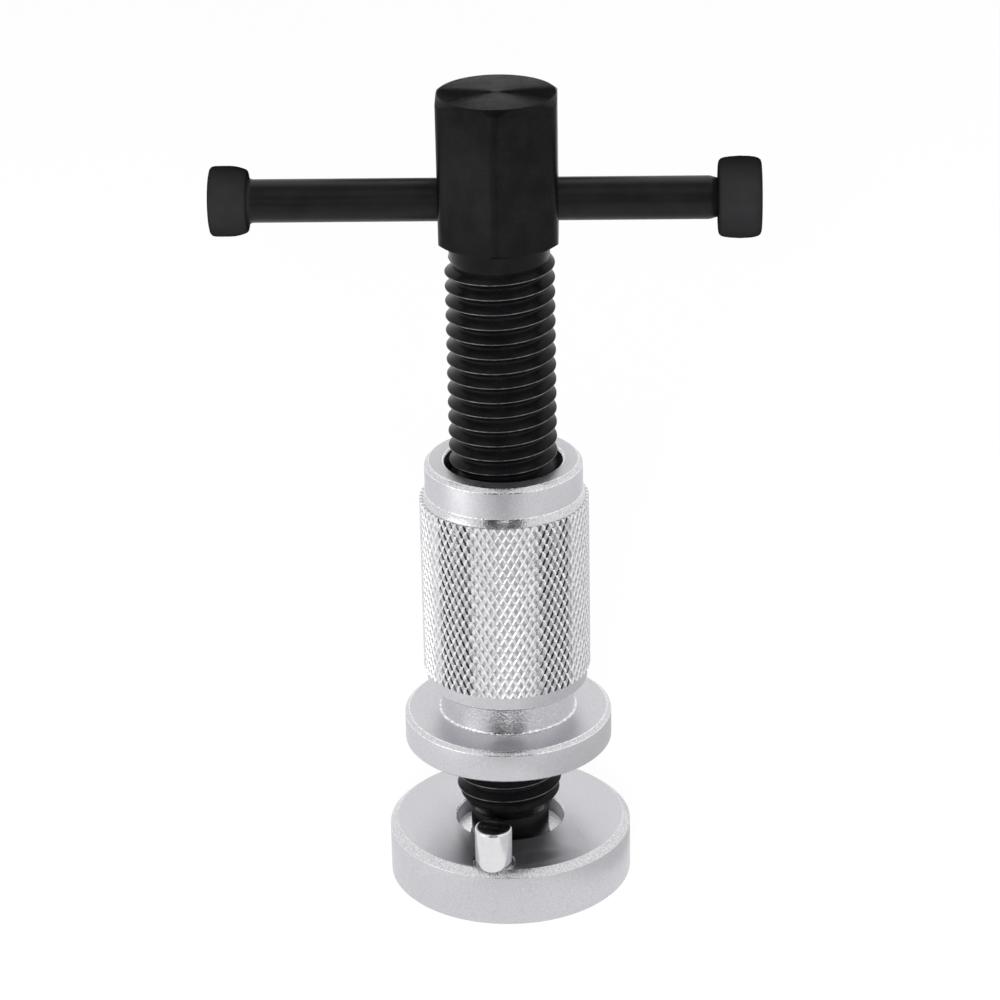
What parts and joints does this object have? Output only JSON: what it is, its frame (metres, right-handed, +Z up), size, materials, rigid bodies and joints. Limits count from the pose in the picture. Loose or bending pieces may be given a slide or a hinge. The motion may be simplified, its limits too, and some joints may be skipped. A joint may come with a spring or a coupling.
{
  "type": "brake caliper spreader",
  "caption": "Hand tool that winds a brake piston back: a hex-headed force screw with a sliding tommy bar runs through a knurled flanged sleeve onto a round drive plate with pins.",
  "frame": {"origin": "centre of the drive plate's underside, on the screw's axis, where the tool stands", "axes": "+Z up along the screw towards its hexagonal head, +X along the tommy bar towards its larger, pressed-on knob"},
  "size_m": [0.0872, 0.041, 0.1384],
  "materials": {
    "black_oxide_steel": "black oxide, oiled, semi-gloss",
    "satin_chrome": "satin chrome over blasted steel",
    "polished_pin": "ground and polished",
    "magnet_nickel": "nickel plate"
  },
  "bodies": {
    "sleeve": {"threaded_sleeve": "satin_chrome"},
    "nose_magnet": {"nose_magnet": "magnet_nickel"},
    "screw": {"force_screw": "black_oxide_steel"},
    "bar": {"tommy_bar": "black_oxide_steel", "bar_end_knob": "black_oxide_steel"},
    "plate": {"drive_plate": "satin_chrome", "drive_pin_front": "polished_pin", "drive_pin_rear": "polished_pin"}
  },
  "joints": [
    {"name": "screw_feed", "type": "slide", "parent": "sleeve", "child": "nose_magnet", "axis": [0, 0, -1], "range_m": [-0.0085, 0.0375]},
    {"name": "screw_turn", "type": "hinge", "parent": "nose_magnet", "child": "screw", "pos_m": [0, 0, 0.0635], "axis": [0, 0, -1], "range_deg": [-1224, 5400]},
    {"name": "bar_slide", "type": "slide", "parent": "screw", "child": "bar", "axis": [1, 0, 0], "range_m": [-0.025, 0.029]},
    {"name": "plate_release", "type": "slide", "parent": "screw", "child": "plate", "axis": [0, 0, -1], "range_m": [0, 0.01]}
  ],
  "couplings": [
    {"joint": "screw_feed", "follows": "screw_turn", "m_per_rad": 0.00039789}
  ]
}
